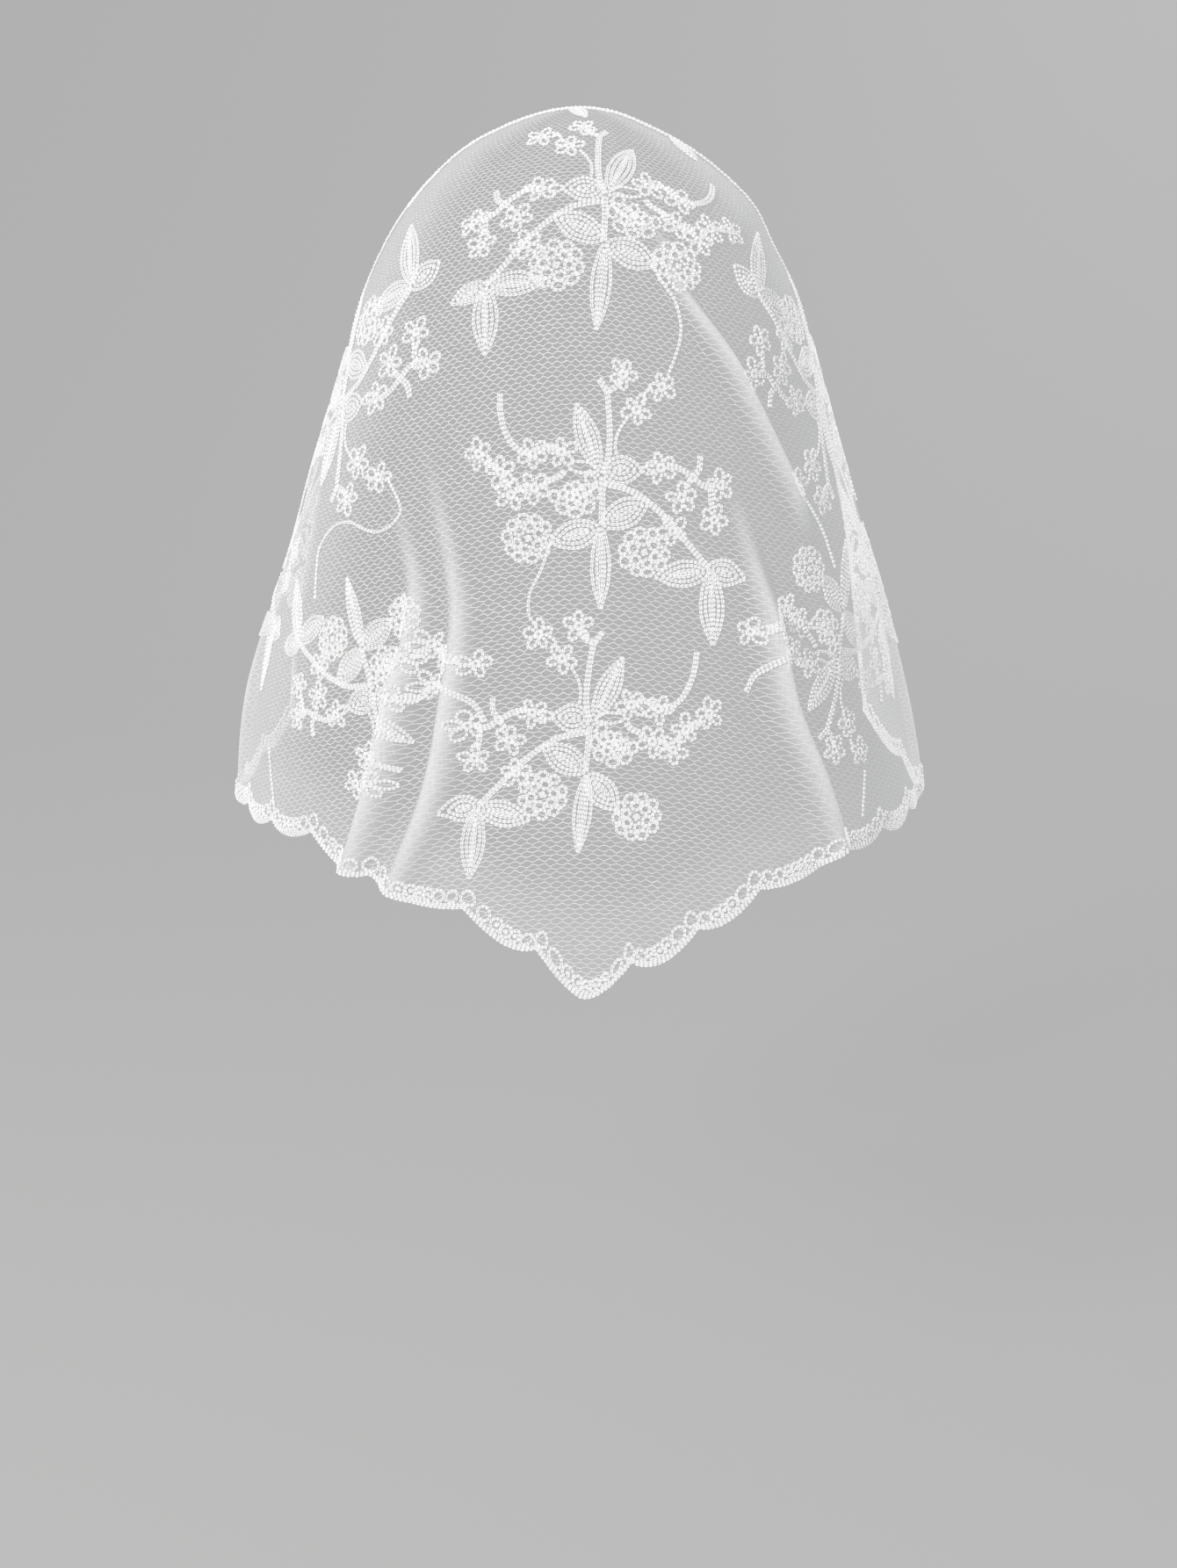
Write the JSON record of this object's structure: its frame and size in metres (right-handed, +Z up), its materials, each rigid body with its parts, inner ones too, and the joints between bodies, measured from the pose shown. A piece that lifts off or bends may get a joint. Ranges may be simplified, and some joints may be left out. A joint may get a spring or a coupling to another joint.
{
  "type": "lace headscarf",
  "caption": "Draped net headscarf with floral embroidery, a narrow front edge and a scalloped, pointed hem; it lies over the crown and hangs down the back of the head.",
  "frame": {"origin": "on the crown, at the middle of the front edge, where the scarf sits on the top of the head", "axes": "+Z up; +Y towards the face, so that the cloth hangs at -Y; +X to the wearer's right-hand side"},
  "size_m": [0.3157, 0.1897, 0.3615],
  "materials": {
    "net": "fine open net, soft sheen",
    "thread": "white chain stitch, silky"
  },
  "bodies": {
    "root": {"net_ground": "net", "scalloped_edging": "thread", "front_edge_band": "thread", "spray_centre_top": "thread", "spray_centre_middle": "thread", "spray_centre_bottom": "thread", "spray_left_upper": "thread", "spray_left_lower": "thread", "spray_right_upper": "thread", "spray_right_lower": "thread", "spray_left_front": "thread", "spray_right_front": "thread"}
  },
  "joints": []
}
